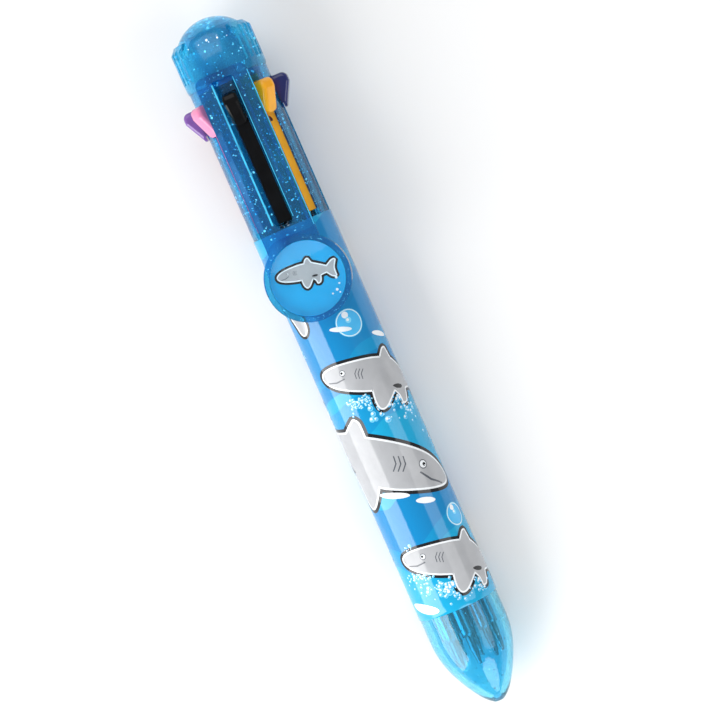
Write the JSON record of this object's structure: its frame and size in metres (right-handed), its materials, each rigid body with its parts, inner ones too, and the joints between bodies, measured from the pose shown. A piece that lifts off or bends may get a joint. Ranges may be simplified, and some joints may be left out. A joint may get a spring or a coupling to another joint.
{
  "type": "multicolour click pen",
  "caption": "Thick pen with a ring of coloured thumb sliders, a clear tinted slotted barrel and crown, a wide slotted clip with a round badge, a printed sleeve and a rounded clear nose.",
  "frame": {"origin": "on the pen's axis, in the plane of the writing hole's mouth", "axes": "+X along the axis from the tip to the crown, +Z from the axis towards the clip, +Y across so that the axes are right-handed; the pen lies with its clip up"},
  "size_m": [0.145, 0.022, 0.0235],
  "materials": {
    "clear_cyan": "clear tinted plastic with fine glitter",
    "printed_film": null,
    "clear_blue": "clear tinted plastic with fine glitter",
    "clear_crown": "clear tinted plastic with fine glitter",
    "clear_clip": "clear tinted plastic with fine glitter",
    "frosted": "milky moulded plastic",
    "badge_ink": "printed disc",
    "clear_dome": "clear resin dome",
    "spring_wire": "bright spring wire",
    "tube": "translucent refill tube",
    "nib_metal": "darkened turned metal",
    "slider_black": "glossy moulded plastic",
    "slider_pink": "glossy moulded plastic",
    "slider_purple": "glossy moulded plastic",
    "slider_red": "glossy moulded plastic",
    "slider_green": "glossy moulded plastic",
    "slider_sky": "glossy moulded plastic",
    "slider_navy": "glossy moulded plastic",
    "slider_yellow": "glossy moulded plastic"
  },
  "bodies": {
    "pen": {"lower_barrel": "clear_cyan", "printed_sleeve": "printed_film", "upper_barrel": "clear_blue", "crown_cap": "clear_crown", "slider_core": "frosted", "spring_seat": "frosted", "spring_black": "spring_wire", "spring_pink": "spring_wire", "spring_purple": "spring_wire", "spring_red": "spring_wire", "spring_green": "spring_wire", "spring_sky": "spring_wire", "spring_navy": "spring_wire", "spring_yellow": "spring_wire"},
    "clip_arm": {"clip": "clear_clip", "badge_print": "badge_ink", "badge_lens": "clear_dome"},
    "slide_black": {"slider_black": "slider_black", "refill_black": "tube"},
    "point_black": {"nib_black": "nib_metal"},
    "slide_pink": {"slider_pink": "slider_pink", "refill_pink": "tube"},
    "point_pink": {"nib_pink": "nib_metal"},
    "slide_purple": {"slider_purple": "slider_purple", "refill_purple": "tube"},
    "point_purple": {"nib_purple": "nib_metal"},
    "slide_red": {"slider_red": "slider_red", "refill_red": "tube"},
    "point_red": {"nib_red": "nib_metal"},
    "slide_green": {"slider_green": "slider_green", "refill_green": "tube"},
    "point_green": {"nib_green": "nib_metal"},
    "slide_sky": {"slider_sky": "slider_sky", "refill_sky": "tube"},
    "point_sky": {"nib_sky": "nib_metal"},
    "slide_navy": {"slider_navy": "slider_navy", "refill_navy": "tube"},
    "point_navy": {"nib_navy": "nib_metal"},
    "slide_yellow": {"slider_yellow": "slider_yellow", "refill_yellow": "tube"},
    "point_yellow": {"nib_yellow": "nib_metal"}
  },
  "joints": [
    {"name": "clip_flex", "type": "hinge", "parent": "pen", "child": "clip_arm", "pos_m": [0.1334, 0, 0.0084], "axis": [0, 1, 0], "range_deg": [0, 4], "stiffness_Nm_per_rad": 2.5, "springref_deg": -0.57},
    {"name": "click_black", "type": "slide", "parent": "pen", "child": "slide_black", "axis": [-1, 0, 0], "range_m": [0, 0.0115], "stiffness_N_per_m": 60, "springref_m": -0.008, "deforming": ["spring_black", "refill_black", "nib_black"]},
    {"name": "centre_black", "type": "slide", "parent": "slide_black", "child": "point_black", "axis": [0, 0, -1], "range_m": [0, 0.0047]},
    {"name": "click_pink", "type": "slide", "parent": "pen", "child": "slide_pink", "axis": [-1, 0, 0], "range_m": [0, 0.0115], "stiffness_N_per_m": 60, "springref_m": -0.008, "deforming": ["spring_pink", "refill_pink", "nib_pink"]},
    {"name": "centre_pink", "type": "slide", "parent": "slide_pink", "child": "point_pink", "axis": [0, -0.7071, -0.7071], "range_m": [0, 0.0047]},
    {"name": "click_purple", "type": "slide", "parent": "pen", "child": "slide_purple", "axis": [-1, 0, 0], "range_m": [0, 0.0115], "stiffness_N_per_m": 60, "springref_m": -0.008, "deforming": ["spring_purple", "refill_purple", "nib_purple"]},
    {"name": "centre_purple", "type": "slide", "parent": "slide_purple", "child": "point_purple", "axis": [0, -1, 0], "range_m": [0, 0.0047]},
    {"name": "click_red", "type": "slide", "parent": "pen", "child": "slide_red", "axis": [-1, 0, 0], "range_m": [0, 0.0115], "stiffness_N_per_m": 60, "springref_m": -0.008, "deforming": ["spring_red", "refill_red", "nib_red"]},
    {"name": "centre_red", "type": "slide", "parent": "slide_red", "child": "point_red", "axis": [0, -0.7071, 0.7071], "range_m": [0, 0.0047]},
    {"name": "click_green", "type": "slide", "parent": "pen", "child": "slide_green", "axis": [-1, 0, 0], "range_m": [0, 0.0115], "stiffness_N_per_m": 60, "springref_m": -0.008, "deforming": ["spring_green", "refill_green", "nib_green"]},
    {"name": "centre_green", "type": "slide", "parent": "slide_green", "child": "point_green", "axis": [0, 0, 1], "range_m": [0, 0.0047]},
    {"name": "click_sky", "type": "slide", "parent": "pen", "child": "slide_sky", "axis": [-1, 0, 0], "range_m": [0, 0.0115], "stiffness_N_per_m": 60, "springref_m": -0.008, "deforming": ["spring_sky", "refill_sky", "nib_sky"]},
    {"name": "centre_sky", "type": "slide", "parent": "slide_sky", "child": "point_sky", "axis": [0, 0.7071, 0.7071], "range_m": [0, 0.0047]},
    {"name": "click_navy", "type": "slide", "parent": "pen", "child": "slide_navy", "axis": [-1, 0, 0], "range_m": [0, 0.0115], "stiffness_N_per_m": 60, "springref_m": -0.008, "deforming": ["spring_navy", "refill_navy", "nib_navy"]},
    {"name": "centre_navy", "type": "slide", "parent": "slide_navy", "child": "point_navy", "axis": [0, 1, 0], "range_m": [0, 0.0047]},
    {"name": "click_yellow", "type": "slide", "parent": "pen", "child": "slide_yellow", "axis": [-1, 0, 0], "range_m": [0, 0.0115], "stiffness_N_per_m": 60, "springref_m": -0.008, "deforming": ["spring_yellow", "refill_yellow", "nib_yellow"]},
    {"name": "centre_yellow", "type": "slide", "parent": "slide_yellow", "child": "point_yellow", "axis": [0, 0.7071, -0.7071], "range_m": [0, 0.0047]}
  ],
  "couplings": [
    {"joint": "centre_black", "follows": "click_black", "ratio": 0.4087},
    {"joint": "centre_pink", "follows": "click_pink", "ratio": 0.4087},
    {"joint": "centre_purple", "follows": "click_purple", "ratio": 0.4087},
    {"joint": "centre_red", "follows": "click_red", "ratio": 0.4087},
    {"joint": "centre_green", "follows": "click_green", "ratio": 0.4087},
    {"joint": "centre_sky", "follows": "click_sky", "ratio": 0.4087},
    {"joint": "centre_navy", "follows": "click_navy", "ratio": 0.4087},
    {"joint": "centre_yellow", "follows": "click_yellow", "ratio": 0.4087}
  ]
}
